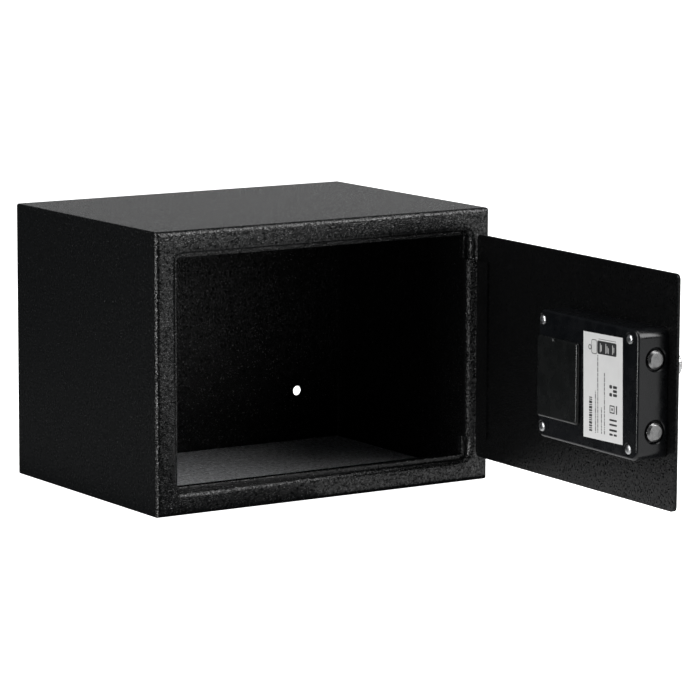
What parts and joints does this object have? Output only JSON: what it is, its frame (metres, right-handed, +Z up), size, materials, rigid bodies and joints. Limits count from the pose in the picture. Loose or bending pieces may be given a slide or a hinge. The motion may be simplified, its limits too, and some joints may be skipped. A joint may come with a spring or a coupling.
{
  "type": "in room safe",
  "caption": "Small steel cabinet safe with a swinging door, keypad lock, turning knob and two sliding round bolts behind a plastic housing.",
  "frame": {"origin": "centre of the cabinet's flat underside", "axes": "+X to the right seen from the front, +Y to the rear wall, +Z up; the door stands 88 degrees open at rest"},
  "size_m": [0.3519, 0.5605, 0.25],
  "materials": {
    "powder_coat": "textured black powder coat",
    "felt": "dark grey needle felt",
    "black_plastic": "satin black moulded plastic",
    "bright_steel": "nickel plated steel",
    "zinc": "zinc plated steel",
    "satin_chrome": "satin chrome",
    "label": "pale printed film",
    "cell": "printed steel can",
    "board": "solder mask",
    "key_rubber": "matt rubber",
    "lens": "clear tinted lens",
    "brass": "machined brass",
    "coil": "varnished copper winding",
    "red_plastic": "moulded red plastic"
  },
  "bodies": {
    "cabinet": {"body_wrap": "powder_coat", "rear_panel": "powder_coat", "front_frame": "powder_coat", "floor_mat": "felt", "hinge_bracket_lower": "powder_coat", "hinge_bracket_upper": "powder_coat"},
    "door": {"door_panel": "powder_coat", "hinge_leaf": "powder_coat", "hinge_pin_lower": "zinc", "hinge_pin_upper": "zinc", "lock_housing": "black_plastic", "housing_screw_1": "zinc", "housing_screw_2": "zinc", "housing_screw_3": "zinc", "housing_screw_4": "zinc", "rating_label": "label", "battery_cell_1": "cell", "battery_cell_2": "cell", "battery_cell_3": "cell", "battery_cell_4": "cell", "battery_contacts_lower": "zinc", "battery_contacts_upper": "zinc", "lock_chassis": "zinc", "solenoid_frame": "zinc", "solenoid_coil": "coil", "plunger_spring": "zinc", "circuit_board": "board", "keypad_fascia": "black_plastic", "lens_left": "lens", "lens_middle": "lens", "lens_right": "lens", "key_cylinder": "zinc", "cover_rivet": "zinc"},
    "battery_cover": {"battery_cover": "black_plastic"},
    "knob": {"knob": "satin_chrome", "knob_spindle": "zinc", "crank_arm": "zinc"},
    "bolt_carriage": {"bolt_carriage": "zinc", "bolt_lower": "bright_steel", "bolt_upper": "bright_steel"},
    "plunger": {"solenoid_plunger": "bright_steel"},
    "key_plug": {"key_plug": "brass", "plug_cam": "zinc"},
    "key_cover": {"key_cover": "satin_chrome"},
    "reset_button": {"reset_button": "red_plastic"},
    "key_1": {"key_1": "key_rubber"},
    "key_2": {"key_2": "key_rubber"},
    "key_3": {"key_3": "key_rubber"},
    "key_4": {"key_4": "key_rubber"},
    "key_5": {"key_5": "key_rubber"},
    "key_6": {"key_6": "key_rubber"},
    "key_7": {"key_7": "key_rubber"},
    "key_8": {"key_8": "key_rubber"},
    "key_9": {"key_9": "key_rubber"},
    "key_star": {"key_star": "key_rubber"},
    "key_0": {"key_0": "key_rubber"},
    "key_hash": {"key_hash": "key_rubber"}
  },
  "joints": [
    {"name": "door_hinge", "type": "hinge", "parent": "cabinet", "child": "door", "pos_m": [0.1612, -0.1206, 0.125], "axis": [0, 0, 1], "range_deg": [-88, 12]},
    {"name": "knob_turn", "type": "hinge", "parent": "door", "child": "knob", "pos_m": [0.15282, -0.39788, 0.144], "axis": [-0.9994, 0.0349, 0], "range_deg": [0, 90]},
    {"name": "bolt_slide", "type": "slide", "parent": "door", "child": "bolt_carriage", "axis": [-0.0349, -0.9994, 0], "range_m": [0, 0.01273]},
    {"name": "plunger_pull", "type": "slide", "parent": "door", "child": "plunger", "axis": [-0.9994, 0.0349, 0], "range_m": [0, 0.002], "stiffness_N_per_m": 150, "springref_m": -0.003},
    {"name": "battery_cover_off", "type": "slide", "parent": "door", "child": "battery_cover", "axis": [-0.9994, 0.0349, 0], "range_m": [0, 0.03]},
    {"name": "key_plug_turn", "type": "hinge", "parent": "door", "child": "key_plug", "pos_m": [0.1538, -0.36969, 0.086], "axis": [-0.9994, 0.0349, 0], "range_deg": [0, 90]},
    {"name": "key_cover_swing", "type": "hinge", "parent": "door", "child": "key_cover", "pos_m": [0.1538, -0.36969, 0.097], "axis": [-0.9994, 0.0349, 0], "range_deg": [0, 90]},
    {"name": "reset_press", "type": "slide", "parent": "door", "child": "reset_button", "axis": [-0.0349, -0.9994, 0], "range_m": [0, 0.0015], "stiffness_N_per_m": 400},
    {"name": "key_1_press", "type": "slide", "parent": "door", "child": "key_1", "axis": [-0.9994, 0.0349, 0], "range_m": [0, 0.001], "stiffness_N_per_m": 500},
    {"name": "key_2_press", "type": "slide", "parent": "door", "child": "key_2", "axis": [-0.9994, 0.0349, 0], "range_m": [0, 0.001], "stiffness_N_per_m": 500},
    {"name": "key_3_press", "type": "slide", "parent": "door", "child": "key_3", "axis": [-0.9994, 0.0349, 0], "range_m": [0, 0.001], "stiffness_N_per_m": 500},
    {"name": "key_4_press", "type": "slide", "parent": "door", "child": "key_4", "axis": [-0.9994, 0.0349, 0], "range_m": [0, 0.001], "stiffness_N_per_m": 500},
    {"name": "key_5_press", "type": "slide", "parent": "door", "child": "key_5", "axis": [-0.9994, 0.0349, 0], "range_m": [0, 0.001], "stiffness_N_per_m": 500},
    {"name": "key_6_press", "type": "slide", "parent": "door", "child": "key_6", "axis": [-0.9994, 0.0349, 0], "range_m": [0, 0.001], "stiffness_N_per_m": 500},
    {"name": "key_7_press", "type": "slide", "parent": "door", "child": "key_7", "axis": [-0.9994, 0.0349, 0], "range_m": [0, 0.001], "stiffness_N_per_m": 500},
    {"name": "key_8_press", "type": "slide", "parent": "door", "child": "key_8", "axis": [-0.9994, 0.0349, 0], "range_m": [0, 0.001], "stiffness_N_per_m": 500},
    {"name": "key_9_press", "type": "slide", "parent": "door", "child": "key_9", "axis": [-0.9994, 0.0349, 0], "range_m": [0, 0.001], "stiffness_N_per_m": 500},
    {"name": "key_star_press", "type": "slide", "parent": "door", "child": "key_star", "axis": [-0.9994, 0.0349, 0], "range_m": [0, 0.001], "stiffness_N_per_m": 500},
    {"name": "key_0_press", "type": "slide", "parent": "door", "child": "key_0", "axis": [-0.9994, 0.0349, 0], "range_m": [0, 0.001], "stiffness_N_per_m": 500},
    {"name": "key_hash_press", "type": "slide", "parent": "door", "child": "key_hash", "axis": [-0.9994, 0.0349, 0], "range_m": [0, 0.001], "stiffness_N_per_m": 500}
  ],
  "couplings": [
    {"joint": "knob_turn", "follows": "bolt_slide", "rad_per_m": 123.41}
  ]
}
